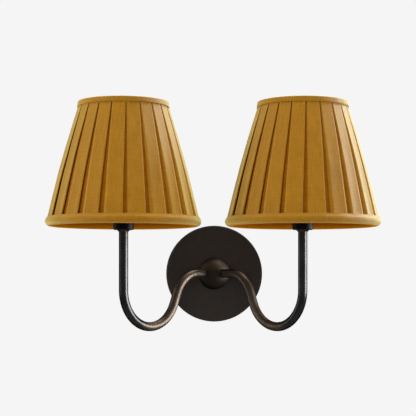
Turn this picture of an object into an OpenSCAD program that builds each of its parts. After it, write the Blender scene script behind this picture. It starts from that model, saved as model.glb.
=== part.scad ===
// Double arm wall sconce. A cross bracket on the wall holds a spun round backplate and a half-ball hub.
// Two swan-neck tubes leave the hub, and each carries a lampholder with a pleated fabric shade.
// Millimetres, +Z up. The wall is the plane y = 0 and the light stands out towards -Y.
// The origin lies in the wall plane, midway between the two fixing holes.

/* [Backplate and bracket] */
// Diameter of the round backplate
plate_d = 133; // [130:1:150]
// Depth of the backplate, from the wall to its face
plate_depth = 22; // [21:0.5:32]
// Sheet thickness of the backplate
plate_wall = 1.5; // [1:0.1:2]
// Radius of the backplate's rounded front edge
plate_edge_r = 3; // [2.2:0.1:6]
// Width of both bars of the wall bracket
bracket_w = 22; // [20:1:26]
// Sheet thickness of the wall bracket
bracket_t = 2; // [1.5:0.1:3]
// Length of the bracket's cross bar
cross_bar_l = 88; // [82:1:104]
// Length of the bent tabs that take the rim screws
tab_l = 14; // [11:0.5:18]
// Distance between the two wall fixing holes
fixing_spacing = 76; // [64:1:90]
// Diameter of the wall fixing holes
fixing_hole_d = 5.2; // [4.2:0.1:6.5]
// Diameter of the hole for the supply cable
cable_hole_d = 16; // [10:1:18]
// Diameter of the headless screws in the backplate's rim
rim_screw_d = 4; // [3:0.5:5]

/* [Hub] */
// Radius of the half-ball hub
hub_r = 22; // [20:0.5:26]
// Outer diameter of the hollow threaded nipples
nipple_d = 10; // [9.6:0.1:10]
// Bore of the hollow threaded nipples
nipple_bore_d = 7; // [6.8:0.1:7.6]
// How far the hub's nipple reaches into the hub
nipple_grip = 5; // [4:0.5:6]
// How deep each arm tube sits in the hub
arm_socket = 10; // [7:0.5:10]
// Height of the hub nut and of the holder nuts
nut_h = 4; // [3:0.5:4.5]

/* [Arms] */
// Distance between the two lampholder axes
holder_spacing = 230; // [226:1:260]
// Angle of each arm out from the wall, seen from above
arm_angle = 48; // [47:0.5:54]
// Outer diameter of the arm tube
tube_d = 12; // [11.9:0.1:13]
// Wall of the arm tube
tube_wall = 0.9; // [0.6:0.05:0.9]
// Bend radius of the shoulder, on the tube's centre line
shoulder_r = 42; // [34:1:44]
// How steeply the tube drops after the shoulder, below the level
drop_angle = 67.5; // [56:0.5:70]
// Straight stretch between the shoulder and the cradle
drop_run = 16; // [8:1:24]
// Bend radius of the cradle that turns the tube upright
cradle_r = 48; // [40:1:49]
// Diameter of each arm cable
arm_cable_d = 2.8; // [2.2:0.1:3]

/* [Lampholders] */
// Height of the lampholders' feet above the hub's centre
holder_foot_z = 55; // [44:1:66]
// Diameter of the lampholder cap at its top
holder_d = 27.5; // [26.8:0.1:29]
// Diameter of the lampholder cap at its foot
holder_foot_d = 26.4; // [25:0.1:27]
// Height of the lampholder cap
holder_cap_h = 26; // [25:0.5:30]
// Height of the threaded skirt above the cap
skirt_h = 23; // [22:0.5:26]
// Wall of the skirt, to the root of its thread
skirt_wall = 1.3; // [1:0.1:1.4]
// Height of the ferrule between the tube and the lampholder
ferrule_h = 2.2; // [1.5:0.1:4]
// Outer diameter of the shade ring
shade_ring_d = 38; // [35:0.5:42]
// Height of the shade ring
shade_ring_h = 6.6; // [5:0.2:9]

/* [Lamps] */
// Largest diameter of the candle lamp
lamp_d = 35; // [30:1:38]
// Length of the lamp with its cap
lamp_l = 100; // [94:1:110]
// Wall of the glass
glass_t = 0.8; // [0.6:0.1:1]
// Diameter of the lamp cap, over its thread
lamp_cap_d = 13.9; // [13.5:0.1:14]

/* [Shades] */
// Diameter over the shade's rolled lower edge
shade_bottom_d = 200; // [180:1:210]
// Diameter over the shade's upper edge
shade_top_d = 116; // [104:1:130]
// Height of the shade
shade_h = 159.5; // [150:0.5:180]
// Height of the shade's lower edge above the lampholder's foot
shade_lift = 4.5; // [0:0.5:10]
// Number of pleats around each shade
pleats = 20; // [14:1:24]
// Depth of the grooves between pleats at the lower edge
pleat_depth = 3; // [1.5:0.1:3.5]
// Depth of the grooves between pleats at the upper edge
pleat_depth_top = 1.6; // [1:0.1:2]
// Width of the grooves at the lower edge
groove_w = 7.6; // [4:0.1:9]
// Width of the grooves at the upper edge
groove_w_top = 1.4; // [1:0.1:3]
// How far the cover bows outwards between its two edges
cover_bow = 1; // [0:0.1:3]
// Radius of the rolled lower edge
roll_r = 6; // [5.8:0.1:7]
// Height of the band along the lower edge
bottom_band_h = 12; // [11:0.5:16]
// Height of the band along the upper edge
top_band_h = 7; // [6:0.5:10]
// Diameter of the lower wire ring
bottom_wire_d = 4; // [3:0.1:4.2]
// Diameter of the upper wire ring
top_wire_d = 3.5; // [2.5:0.1:3.6]
// Number of struts between the two wire rings
struts = 6; // [3:3:12]
// Diameter of the struts
strut_d = 2; // [1.6:0.1:2.2]
// Diameter of the spokes of the fitter
spoke_d = 2.5; // [2:0.1:3]
// Turn of the left shade about its holder
left_shade_turn = 6.6; // [-9:0.1:9]
// Turn of the right shade about its holder
right_shade_turn = -1.5; // [-9:0.1:9]

/* [Hidden] */
$fn = 72;
left = -1;
right = 1;

// Clearances
thread_gap = 0.05; // between a screw or nipple and its hole
seat_gap = 0.2; // between pieces that lie against each other and can turn
slip_gap = 0.3; // between a tab or wire and what it passes
cut = 1; // how far a cutting tool runs past a face

bronze = "#3a332d";
black = "#161412";
zinc = "#b9bcbe";
brass = "#c9a24e";
fabric = "#9b691c";
fabric_inside = "#8a4c08";

// Places along the wall axis
plate_r = plate_d / 2;
hub_y = -plate_depth;
plate_back_y = hub_y + plate_wall;
hub_washer_r = 9;
hub_washer_t = 1.5;
nut_d = 16; // across the corners
hub_nut_y = plate_back_y + hub_washer_t;
nipple_end_y = hub_nut_y + nut_h + 1;
nipple_r = nipple_d / 2;

// Bracket
rim_screw_y = -(tab_l - rim_screw_d / 2 - 4);
rim_screw_inset = 0.4; // below the rim's surface
rim_screw_past = 1; // past the bracket's tab
tab_z = sqrt(pow(plate_r - plate_wall, 2) - pow(bracket_w / 2, 2)) - slip_gap;
earth_x = -cross_bar_l / 2 + 14;
earth_screw_d = 4;
earth_washer_r = 4.5;
earth_washer_t = 1;

// Terminal block on the right half of the cross bar
block_size = [18, 12, 30];
block_x = cable_hole_d / 2 + 8;
sleeve_inset = 1;
pole_pitch = 9.5;
pole_bore_d = 4.4;
pole_wall = 0.8;
block_wire_y = -bracket_t - block_size[1] / 2;
block_screw_d = 3;
block_screw_head_d = 3.6;
clamp_screw_d = 3.6;
clamp_screw_l = 3;
strip_l = 4; // how far a cable reaches into its terminal, and straight out of it

// Arm centre line: u runs out from the hub's centre and v runs up
tube_r = tube_d / 2;
tube_bore_r = tube_r - tube_wall;
holder_x = holder_spacing / 2;
holder_y = hub_y - holder_x * tan(arm_angle);
arm_reach = holder_x / cos(arm_angle);
arm_in_u = hub_r - arm_socket;
first_run = arm_reach - shoulder_r * sin(drop_angle) - drop_run * cos(drop_angle)
    - cradle_r * (1 + sin(drop_angle));
drop_u = first_run + shoulder_r * sin(drop_angle);
drop_v = -shoulder_r * (1 - cos(drop_angle));
cradle_u = drop_u + drop_run * cos(drop_angle) + cradle_r * sin(drop_angle);
cradle_v = drop_v - drop_run * sin(drop_angle) + cradle_r * cos(drop_angle);
tube_top_z = holder_foot_z - ferrule_h;
tube_grip = 8; // how deep the holder's nipple sits in the tube
ferrule_lip = 0.4;
ferrule_flare = 2.5;
wire_way_r = 4.2;
wire_way_u = 5;
seam_l = 0.6;
seam_rise = 0.02;

// Lampholder heights, up from the hub's centre
cap_floor_t = 2.5;
cap_chamfer = 1;
nut_room = 1.4;
cap_ledge_z = holder_foot_z + cap_floor_t + nut_h + 1.5;
cap_top_z = holder_foot_z + holder_cap_h;
skirt_top_z = cap_top_z + skirt_h;
flange_t = 2;
flange_d = 31;
lid_t = 2;
lid_chamfer = 1;
thread_d = holder_d - 0.1;
thread_depth = 0.6;
thread_pitch = 2;
holder_bore_r = thread_d / 2 - thread_depth - skirt_wall;
lid_hole_r = 8.6;
insulator_h = 22;
insulator_floor_z = cap_ledge_z + 12;
wire_hole_d = 3;
wire_hole_x = 5;
contact_clear = 1; // around the centre contact
shell_r = lamp_cap_d / 2 + 0.7;
shell_t = 0.4;
shell_h = 22;
contact_r = 2.2;
contact_h = 1.6;
fitter_z = cap_top_z + flange_t + seat_gap;
fitter_t = 2;
fitter_bore_r = holder_d / 2 + 0.5;
fitter_r = 18.5;
spoke_z = fitter_z + fitter_t - spoke_d / 2; // the spokes end flush with the ring's top
ring_z = fitter_z + fitter_t + seat_gap;
ring_flange_h = 2.6;
ring_wall = 2.5;
ring_gap = 0.08; // between the ring and the crests of the skirt's thread
notches = 16;
notch_r = 1.5;

// Lamp
lamp_z = insulator_floor_z + contact_h + slip_gap;
lamp_cap_h = 21;
lamp_pitch = 2.8;
lamp_thread_depth = 0.5;
button_r = 2.5;
button_h = 1.4;
lamp_neck_r = lamp_cap_d / 2 - 1.1;
stem_r = 2.2;
stem_foot_h = 1.5;
stick_r = 0.9;
stick_ring_r = 4.2;
disc_t = 0.6;
lamp_cap_top_z = lamp_z + lamp_cap_h;
lamp_foot_z = lamp_cap_top_z - 10;
lamp_belly_z = lamp_z + 0.46 * lamp_l;
lamp_tip_z = lamp_z + lamp_l;

// Shade
shade_z = holder_foot_z + shade_lift;
shade_top_z = shade_z + shade_h;
cloth_t = 0.8;
cloth_gap = 0.15;
trim_t = 0.6;
lining_t = 0.5;
roll_wall = 0.9;
curl_r = 2;
top_edge_r = 1.5;
bottom_wire_z = shade_z + roll_wall + bottom_wire_d / 2 + 0.6;
bottom_wire_r = shade_bottom_d / 2 - roll_r + 1.2;
top_wire_z = shade_top_z - trim_t - top_wire_d / 2 - 0.15;
top_wire_r = shade_top_d / 2 - trim_t - 0.4 - top_wire_d / 2;
cover_z = bottom_wire_z + bottom_wire_d / 2 + 0.4;
cover_top_z = top_wire_z - top_wire_d / 2 - 0.4;
cover_bottom_r = shade_bottom_d / 2 - 1.8;
cover_top_r = shade_top_d / 2 - 0.6;
strut_bottom_r = bottom_wire_r - bottom_wire_d / 2 - seat_gap - strut_d / 2;
strut_top_r = top_wire_r - top_wire_d / 2 - seat_gap - strut_d / 2;
trim_leg_h = 2; // how far the trims' inner legs overlap the lining past the wire rings

function unit(v) = v / norm(v);
function lerp(a, b, t) = a + (b - a) * t;
function arc(centre, r, from, to, steps) =
    [for (i = [0 : steps]) let (a = lerp(from, to, i / steps)) centre + r * [cos(a), sin(a)]];
function bezier(p0, p1, p2, p3, steps) =
    [for (i = [0 : steps]) let (t = i / steps, s = 1 - t)
        s * s * s * p0 + 3 * s * s * t * p1 + 3 * s * t * t * p2 + t * t * t * p3];

// Cover, struts and lining at a height
function cover_part(z) = (z - cover_z) / (cover_top_z - cover_z);
function cover_r(z) = lerp(cover_bottom_r, cover_top_r, cover_part(z)) + cover_bow * sin(180 * cover_part(z));
function groove_depth(z) = lerp(pleat_depth, pleat_depth_top, cover_part(z));
function strut_r(z) =
    lerp(strut_bottom_r, strut_top_r, (z - bottom_wire_z) / (top_wire_z - bottom_wire_z));
function lining_r(z) = strut_r(z) - strut_d / 2 - slip_gap;
function leg_r(z) = lining_r(z) - lining_t - cloth_gap;

// Local z runs out from the wall, starting at y
module out_of_wall(y) translate([0, y, 0]) rotate([90, 0, 0]) children();

module mirrored(side) mirror([side < 0 ? 1 : 0, 0, 0]) children();

// Local z = 0 is the hub's centre height, on the lampholder's axis
module on_holder(side) translate([side * holder_x, holder_y, 0]) children();

// Arm plane: local x runs out along the arm from the hub's centre
module in_arm_plane(side) mirrored(side) translate([0, hub_y, 0]) rotate([0, 0, -arm_angle]) children();

// Turned piece from a profile of radius and height
module turned(points) rotate_extrude() polygon(points);

module tube(h, r, bore_r) difference() {
    cylinder(h = h, r = r);
    translate([0, 0, -cut]) cylinder(h = h + 2 * cut, r = bore_r);
}

module bored(h, bore_r) difference() {
    children();
    translate([0, 0, -cut]) cylinder(h = h + 2 * cut, r = bore_r);
}

// Round cord along a path; each ring's start direction is carried over from the one before
function carried(tangents, i, n) = i == len(tangents) ? []
    : let (m = unit(n - (n * tangents[i]) * tangents[i])) concat([m], carried(tangents, i + 1, m));
module cord(path, r, sides, start_normal) {
    last = len(path) - 1;
    tangents = [for (i = [0 : last]) unit(path[min(i + 1, last)] - path[max(i - 1, 0)])];
    normals = carried(tangents, 0, start_normal);
    points = [for (i = [0 : last], k = [0 : sides - 1]) let (a = 360 * k / sides)
        path[i] + r * (cos(a) * normals[i] + sin(a) * cross(tangents[i], normals[i]))];
    walls = [for (i = [0 : last - 1], k = [0 : sides - 1]) let (n = (k + 1) % sides)
        [i * sides + k, (i + 1) * sides + k, (i + 1) * sides + n, i * sides + n]];
    ends = [[for (k = [0 : sides - 1]) k], [for (k = [sides - 1 : -1 : 0]) last * sides + k]];
    polyhedron(points, concat(ends, walls), convexity = 8);
}

// ---- Wall side

module wall_bracket() color(zinc) difference() {
    union() {
        translate([-bracket_w / 2, -bracket_t, -tab_z]) cube([bracket_w, bracket_t, 2 * tab_z]);
        translate([-cross_bar_l / 2, -bracket_t, -bracket_w / 2]) cube([cross_bar_l, bracket_t, bracket_w]);
        for (side = [-1, 1])
            translate([-bracket_w / 2, -tab_l, side * (tab_z - bracket_t / 2) - bracket_t / 2])
                cube([bracket_w, tab_l, bracket_t]);
    }
    out_of_wall(cut) cylinder(h = bracket_t + 2 * cut, d = cable_hole_d);
    for (side = [-1, 1]) {
        translate([0, 0, side * fixing_spacing / 2])
            out_of_wall(cut) cylinder(h = bracket_t + 2 * cut, d = fixing_hole_d);
        translate([0, rim_screw_y, side * tab_z - 2 * bracket_t])
            cylinder(h = 4 * bracket_t, r = rim_screw_d / 2 + thread_gap);
    }
    translate([earth_x, 0, 0])
        out_of_wall(cut) cylinder(h = bracket_t + 2 * cut, r = earth_screw_d / 2 + thread_gap);
    translate([block_x + block_size[0] / 2, 0, pole_pitch / 2])
        out_of_wall(cut) cylinder(h = bracket_t + 2 * cut, r = block_screw_d / 2 + thread_gap);
}

// Round piece with a screwdriver slot in its top
module slotted(h, d) difference() {
    cylinder(h = h, d = d);
    translate([-d, -d / 12, h / 2]) cube([2 * d, d / 6, h]);
}

module screw(d, l, head_d, head_h) {
    cylinder(h = l, d = d);
    translate([0, 0, l]) slotted(head_h, head_d);
}

module earth_screw() color(brass) translate([earth_x, 0, 0])
    out_of_wall(0)
        screw(earth_screw_d, bracket_t + earth_washer_t, 2 * earth_screw_d, 0.65 * earth_screw_d);

module earth_washer() color(zinc) translate([earth_x, -bracket_t, 0])
    out_of_wall(0) tube(earth_washer_t, earth_washer_r, earth_screw_d / 2 + thread_gap);

module terminal_block() color("white") difference() {
    translate([block_x, -bracket_t - block_size[1], -block_size[2] / 2]) cube(block_size);
    for (pole = [-1 : 1]) {
        translate([block_x - cut, block_wire_y, pole * pole_pitch]) rotate([0, 90, 0])
            cylinder(h = block_size[0] + 2 * cut, r = pole_bore_d / 2 + pole_wall + thread_gap);
        translate([block_x + block_size[0] / 2, block_wire_y, pole * pole_pitch])
            out_of_wall(0) cylinder(h = block_size[1], r = clamp_screw_d / 2 + thread_gap);
    }
    translate([block_x + block_size[0] / 2, 0, pole_pitch / 2])
        out_of_wall(0) cylinder(h = bracket_t + block_size[1] + cut, r = block_screw_d / 2 + thread_gap);
}

module terminal_sleeves() color(brass) {
    bore_r = pole_bore_d / 2;
    for (pole = [-1 : 1]) translate([block_x + sleeve_inset, block_wire_y, pole * pole_pitch])
        rotate([0, 90, 0]) tube(block_size[0] - 2 * sleeve_inset, bore_r + pole_wall, bore_r);
}

module terminal_screws() color(zinc)
    for (pole = [-1 : 1])
        translate([block_x + block_size[0] / 2, block_wire_y - pole_bore_d / 2 - pole_wall - seat_gap,
            pole * pole_pitch])
            out_of_wall(0) slotted(clamp_screw_l, clamp_screw_d);

module block_screw() color(zinc) translate([block_x + block_size[0] / 2, 0, pole_pitch / 2])
    out_of_wall(0) screw(block_screw_d, bracket_t + block_size[1], block_screw_head_d, 0.5 * block_screw_d);

module rim_screws() color(bronze)
    for (side = [-1, 1]) translate([0, rim_screw_y, side * (plate_r - rim_screw_inset)])
        mirror([0, 0, side > 0 ? 1 : 0]) difference() {
            cylinder(h = plate_r - tab_z + bracket_t + rim_screw_past, d = rim_screw_d);
            translate([0, 0, -cut]) cylinder(h = 0.6 * rim_screw_d + cut, d = rim_screw_d / 2, $fn = 6);
        }

// Section of a dish with a rounded edge
module dish_profile(r, h, wall, edge) {
    translate([0, h - wall]) square([r - edge, wall]);
    translate([r - wall, 0]) square([wall, h - edge]);
    translate([r - edge, h - edge]) intersection() {
        difference() { circle(r = edge); circle(r = edge - wall); }
        square(edge);
    }
}

module backplate() color(bronze) difference() {
    out_of_wall(0) rotate_extrude() dish_profile(plate_r, plate_depth, plate_wall, plate_edge_r);
    out_of_wall(plate_back_y + cut) cylinder(h = plate_wall + 2 * cut, r = nipple_r + thread_gap);
    translate([0, rim_screw_y, -plate_r - cut])
        cylinder(h = 2 * plate_r + 2 * cut, r = rim_screw_d / 2 + thread_gap);
}

// ---- Hub

module hub() color(bronze) difference() {
    out_of_wall(hub_y) rotate_extrude() intersection() { circle(r = hub_r); square(hub_r); }
    out_of_wall(hub_y + cut) cylinder(h = 2 * nipple_grip + cut, r = nipple_r + thread_gap);
    for (side = [left, right]) in_arm_plane(side) {
        translate([arm_in_u, 0, 0]) rotate([0, 90, 0]) cylinder(h = hub_r, r = tube_r + thread_gap);
        translate([wire_way_u, 0, 0]) rotate([0, 90, 0]) cylinder(h = hub_r / 2, r = wire_way_r);
    }
}

module hub_nipple() color(zinc) out_of_wall(nipple_end_y)
    tube(nipple_end_y - hub_y + nipple_grip, nipple_r, nipple_bore_d / 2);

module hub_washer() color(zinc) out_of_wall(hub_nut_y)
    tube(hub_washer_t, hub_washer_r, nipple_r + thread_gap);

module hub_nut() color(zinc) out_of_wall(hub_nut_y + nut_h)
    bored(nut_h, nipple_r + thread_gap) cylinder(h = nut_h, d = nut_d, $fn = 6);

// ---- Arms

// Bent stretch of tube in the arm plane, swept from one angle to another about a centre
module tube_bend(centre_u, centre_v, bend_r, from, sweep)
    translate([centre_u, 0, centre_v]) rotate([90, 0, 0]) rotate([0, 0, from])
        rotate_extrude(angle = sweep) translate([bend_r, 0])
            difference() { circle(r = tube_r); circle(r = tube_bore_r); }

// Straight stretch of tube in the arm plane; lean is its tilt from upright
module tube_run(u, v, lean, l) translate([u, 0, v]) rotate([0, lean, 0]) tube(l, tube_r, tube_bore_r);

// Thin seam that makes one piece of the two stretches that meet in it
module tube_seam(u, v, lean) translate([u, 0, v]) rotate([0, lean, 0]) translate([0, 0, -seam_l / 2])
    tube(seam_l, tube_r + seam_rise, tube_bore_r - seam_rise);

module arm(side) color(bronze) in_arm_plane(side) {
    drop_lean = 90 + drop_angle;
    tube_run(arm_in_u, 0, 90, first_run - arm_in_u);
    tube_seam(first_run, 0, 90);
    tube_bend(first_run, -shoulder_r, shoulder_r, 90 - drop_angle, drop_angle);
    tube_seam(drop_u, drop_v, drop_lean);
    tube_run(drop_u, drop_v, drop_lean, drop_run);
    tube_seam(drop_u + drop_run * cos(drop_angle), drop_v - drop_run * sin(drop_angle), drop_lean);
    tube_bend(cradle_u, cradle_v, cradle_r, 270 - drop_angle, 90 + drop_angle);
    tube_seam(arm_reach, cradle_v, 0);
    tube_run(arm_reach, cradle_v, 0, tube_top_z - cradle_v);
}

// Cable: from its terminal, through the hub's nipple, along the tube's centre line, into the lampholder
function arm_point(side, u, v) = [side * u * cos(arm_angle), hub_y - u * sin(arm_angle), v];
module arm_cable(side) {
    in_nipple_x = side * (nipple_bore_d / 4 - thread_gap);
    terminal = [block_x + strip_l, block_wire_y, -side * pole_pitch];
    clear_of_block = [block_x - strip_l, block_wire_y, -side * pole_pitch];
    nipple_in = [in_nipple_x, nipple_end_y, 0];
    nipple_out = [in_nipple_x, hub_y - nipple_grip, 0];
    in_tube_u = arm_in_u + strip_l;
    in_tube = arm_point(side, in_tube_u, 0);
    shoulder = [for (i = [0 : 8]) let (a = drop_angle * i / 8)
        arm_point(side, first_run + shoulder_r * sin(a), -shoulder_r * (1 - cos(a)))];
    cradle = [for (i = [0 : 18]) let (a = lerp(-drop_angle, 90, i / 18))
        arm_point(side, cradle_u + cradle_r * sin(a), cradle_v - cradle_r * cos(a))];
    color("white") cord(
        concat(
            [terminal],
            bezier(clear_of_block, clear_of_block - [1.5 * strip_l, 0, 0],
                nipple_in + [0, strip_l, 0], nipple_in, 8),
            bezier(nipple_out, nipple_out - [0, 0.75 * strip_l, 0],
                arm_point(side, in_tube_u - 0.75 * strip_l, 0), in_tube, 8),
            shoulder, cradle,
            [arm_point(side, arm_reach, cap_ledge_z - slip_gap)]),
        arm_cable_d / 2, 8, [0, 0, 1]);
}

module arm_ferrule(side) color(bronze) on_holder(side) translate([0, 0, tube_top_z])
    bored(ferrule_h, nipple_r + thread_gap)
        cylinder(h = ferrule_h, r1 = tube_r + ferrule_lip, r2 = tube_r + ferrule_flare);

// ---- Lampholders

module holder_nipple(side) color(zinc) on_holder(side) translate([0, 0, tube_top_z - tube_grip])
    tube(cap_ledge_z - 1 - tube_top_z + tube_grip, nipple_r, nipple_bore_d / 2);

module holder_nut(side) color(zinc) on_holder(side) translate([0, 0, holder_foot_z + cap_floor_t])
    bored(nut_h, nipple_r + thread_gap) cylinder(h = nut_h, d = nut_d, $fn = 6);

module holder_cap(side) color(black) on_holder(side) difference() {
    turned([[0, holder_foot_z], [holder_foot_d / 2 - cap_chamfer, holder_foot_z],
        [holder_foot_d / 2, holder_foot_z + cap_chamfer], [holder_d / 2, cap_top_z], [0, cap_top_z]]);
    translate([0, 0, holder_foot_z - cut]) cylinder(h = holder_cap_h, r = nipple_r + thread_gap);
    translate([0, 0, holder_foot_z + cap_floor_t]) cylinder(h = holder_cap_h, r = nut_d / 2 + nut_room);
    translate([0, 0, cap_ledge_z]) cylinder(h = holder_cap_h, r = holder_bore_r);
}

// Skirt: a flange that the shade rests on, a rounded thread for the shade ring and a lid
module holder_skirt(side) color(black) on_holder(side) {
    thread_z = cap_top_z + flange_t;
    root_r = thread_d / 2 - thread_depth;
    turns = floor((skirt_h - flange_t - lid_t) / thread_pitch);
    thread = [for (i = [0 : turns - 1], step = [[0, 0], [0.3, 1], [0.7, 1]])
        [root_r + step[1] * thread_depth, thread_z + (i + step[0]) * thread_pitch]];
    difference() {
        turned(concat([[0, cap_top_z], [flange_d / 2, cap_top_z], [flange_d / 2, thread_z]], thread,
            [[root_r, thread_z + turns * thread_pitch], [root_r, skirt_top_z - lid_chamfer],
                [root_r - lid_chamfer, skirt_top_z], [0, skirt_top_z]]));
        translate([0, 0, cap_top_z - cut]) cylinder(h = skirt_h - lid_t + cut, r = holder_bore_r);
        translate([0, 0, cap_top_z]) cylinder(h = skirt_h + cut, r = lid_hole_r);
    }
}

module holder_insulator(side) color("ivory") on_holder(side) difference() {
    translate([0, 0, cap_ledge_z]) cylinder(h = insulator_h, r = holder_bore_r - seat_gap);
    translate([0, 0, insulator_floor_z]) cylinder(h = insulator_h, r = shell_r + shell_t + seat_gap);
    for (x = [-wire_hole_x, wire_hole_x])
        translate([x, 0, cap_ledge_z - cut]) cylinder(h = insulator_h, d = wire_hole_d);
}

module screw_shell(side) color(brass) on_holder(side) translate([0, 0, insulator_floor_z])
    turned([[contact_r + contact_clear, 0], [shell_r + shell_t, 0], [shell_r + shell_t, shell_h],
        [shell_r, shell_h], [shell_r, shell_t], [contact_r + contact_clear, shell_t]]);

module centre_contact(side) color(brass) on_holder(side) translate([0, 0, insulator_floor_z])
    cylinder(h = contact_h, r = contact_r);

// Ring nut with finger notches around its flange
module shade_ring(side) color(black) on_holder(side) translate([0, 0, ring_z]) difference() {
    union() {
        cylinder(h = ring_flange_h, d = shade_ring_d);
        cylinder(h = shade_ring_h, r = thread_d / 2 + ring_wall);
    }
    translate([0, 0, -cut]) cylinder(h = shade_ring_h + 2 * cut, r = thread_d / 2 + ring_gap);
    for (i = [1 : notches]) rotate([0, 0, i * 360 / notches])
        translate([shade_ring_d / 2 + 0.4 * notch_r, 0, -cut])
            cylinder(h = ring_flange_h + 2 * cut, r = notch_r);
}

// ---- Lamps

module lamp_cap(side) color(brass) on_holder(side) difference() {
    crest_r = lamp_cap_d / 2;
    root_r = crest_r - lamp_thread_depth;
    thread_z = lamp_z + 4.6;
    thread = [for (i = [0 : 4], step = [[0, root_r], [0.5, crest_r]])
        [step[1], thread_z + (i + step[0]) * lamp_pitch]];
    turned(concat([[0, lamp_z], [button_r, lamp_z], [button_r, lamp_z + button_h],
        [crest_r - 2.4, lamp_z + 1.5 * button_h], [root_r, thread_z - lamp_thread_depth]],
        thread, [[root_r, lamp_cap_top_z - 2], [root_r, lamp_cap_top_z], [0, lamp_cap_top_z]]));
    translate([0, 0, lamp_foot_z - 0.5]) cylinder(h = lamp_cap_h, r = lamp_neck_r + thread_gap);
}

// Candle outline of the glass, from its neck to its tip, drawn in by an inset
function candle(inset) = concat(
    [[lamp_neck_r - inset, lamp_foot_z], [lamp_neck_r - inset, lamp_cap_top_z]],
    bezier([lamp_neck_r - inset, lamp_cap_top_z + 0.5], [lamp_neck_r + 1 - inset, lamp_cap_top_z + 7],
        [lamp_d / 2 - inset, lamp_belly_z - 11], [lamp_d / 2 - inset, lamp_belly_z], 8),
    bezier([lamp_d / 2 - inset, lamp_belly_z + 1], [lamp_d / 2 - inset, lamp_belly_z + 0.22 * lamp_l],
        [4 - inset, lamp_tip_z - 0.12 * lamp_l], [1.2 - inset, lamp_tip_z - 1 - inset], 10));
module lamp_glass(side) color([0.95, 0.95, 0.92, 0.4]) on_holder(side) {
    inside = candle(glass_t);
    turned(concat(candle(0), [[0, lamp_tip_z], [0, lamp_tip_z - 2 * glass_t]],
        [for (i = [len(inside) - 1 : -1 : 0]) if (inside[i][0] > 0.1) inside[i]]));
}

module lamp_filament(side) color("gold") on_holder(side) {
    stem_z = lamp_foot_z + stem_foot_h;
    stick_z = lamp_belly_z - 6;
    stick_l = 0.36 * lamp_l;
    translate([0, 0, lamp_foot_z]) cylinder(h = stem_foot_h, r = lamp_neck_r - glass_t - 2 * thread_gap);
    translate([0, 0, stem_z]) cylinder(h = stick_z - stem_z, r = stem_r);
    for (z = [stick_z, stick_z + disc_t + stick_l])
        translate([0, 0, z]) cylinder(h = disc_t, r = stick_ring_r + stick_r + 0.3);
    for (i = [0 : 3]) rotate([0, 0, 90 * i])
        translate([stick_ring_r, 0, stick_z + disc_t]) cylinder(h = stick_l, r = stick_r);
}

// ---- Shades

// Closed pleated wall. A pleat is a nearly flat panel, and between two panels lies a narrow groove.
module shade_cover(side) color(fabric) on_holder(side) rotate([0, 0, shade_turn(side)]) {
    levels = 5;
    pitch = 360 / pleats;
    ring_count = 5 * pleats;
    heights = [for (i = [0 : levels]) lerp(cover_z, cover_top_z, i / levels)];
    outer = [for (z = heights, pleat = [0 : pleats - 1], corner = [0 : 4])
        let (t = cover_part(z), r = cover_r(z),
            groove = lerp(groove_w, groove_w_top, t) / 2 / r * 180 / PI,
            panel = pitch / 2 - groove,
            a = pitch * (pleat + 0.5) - 90
                + [-panel, 0, panel, pitch / 2 - 0.6 * groove, pitch / 2 + 0.6 * groove][corner],
            depth = corner < 3 ? 0 : groove_depth(z))
        [(r - depth) * cos(a), (r - depth) * sin(a), z]];
    inner = [for (i = [0 : len(outer) - 1]) let (p = outer[i], flat = [p[0], p[1]])
        concat(unit(flat) * (cover_r(p[2]) - groove_depth(p[2]) - cloth_t), [p[2]])];
    offset = len(outer);
    faces = [for (i = [0 : levels - 1], k = [0 : ring_count - 1])
        let (a = i * ring_count + k, b = i * ring_count + (k + 1) % ring_count)
        each [[a, a + ring_count, b + ring_count, b],
            [b + offset, b + ring_count + offset, a + ring_count + offset, a + offset]]];
    rims = [for (k = [0 : ring_count - 1]) let (n = (k + 1) % ring_count, top = levels * ring_count)
        each [[k, n, n + offset, k + offset], [k + top, k + top + offset, n + top + offset, n + top]]];
    polyhedron(concat(outer, inner), concat(faces, rims), convexity = 6);
}
function shade_turn(side) = side < 0 ? left_shade_turn : right_shade_turn;

// Smooth inner cloth, open around the three spokes
module shade_lining(side) color(fabric_inside) on_holder(side) difference() {
    low = bottom_wire_z;
    high = top_wire_z;
    turned([[lining_r(low) - lining_t, low], [lining_r(low), low], [lining_r(high), high],
        [lining_r(high) - lining_t, high]]);
    spokes(side, spoke_d / 2 + slip_gap, cut);
}

// Rolled band around the lower wire ring and the ends of the cover and the lining
module bottom_trim(side) color(fabric) on_holder(side) {
    roll_at = [shade_bottom_d / 2 - roll_r, shade_z + roll_r];
    band_z = shade_z + bottom_band_h;
    leg_z = cover_z + trim_leg_h;
    curl_z = shade_z + curl_r;
    curl_at = [leg_r(curl_z) + curl_r - trim_t, curl_z];
    turned(concat(
        [[cover_r(band_z) + cloth_gap, band_z], [cover_r(band_z) + cloth_gap + trim_t, band_z]],
        arc(roll_at, roll_r, 30, -90, 12),
        arc(curl_at, curl_r, -90, -180, 5),
        [[leg_r(leg_z) - trim_t, leg_z], [leg_r(leg_z), leg_z]],
        arc(curl_at, curl_r - trim_t, -180, -90, 5),
        arc(roll_at, roll_r - roll_wall, -90, 22, 12)));
}

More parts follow.
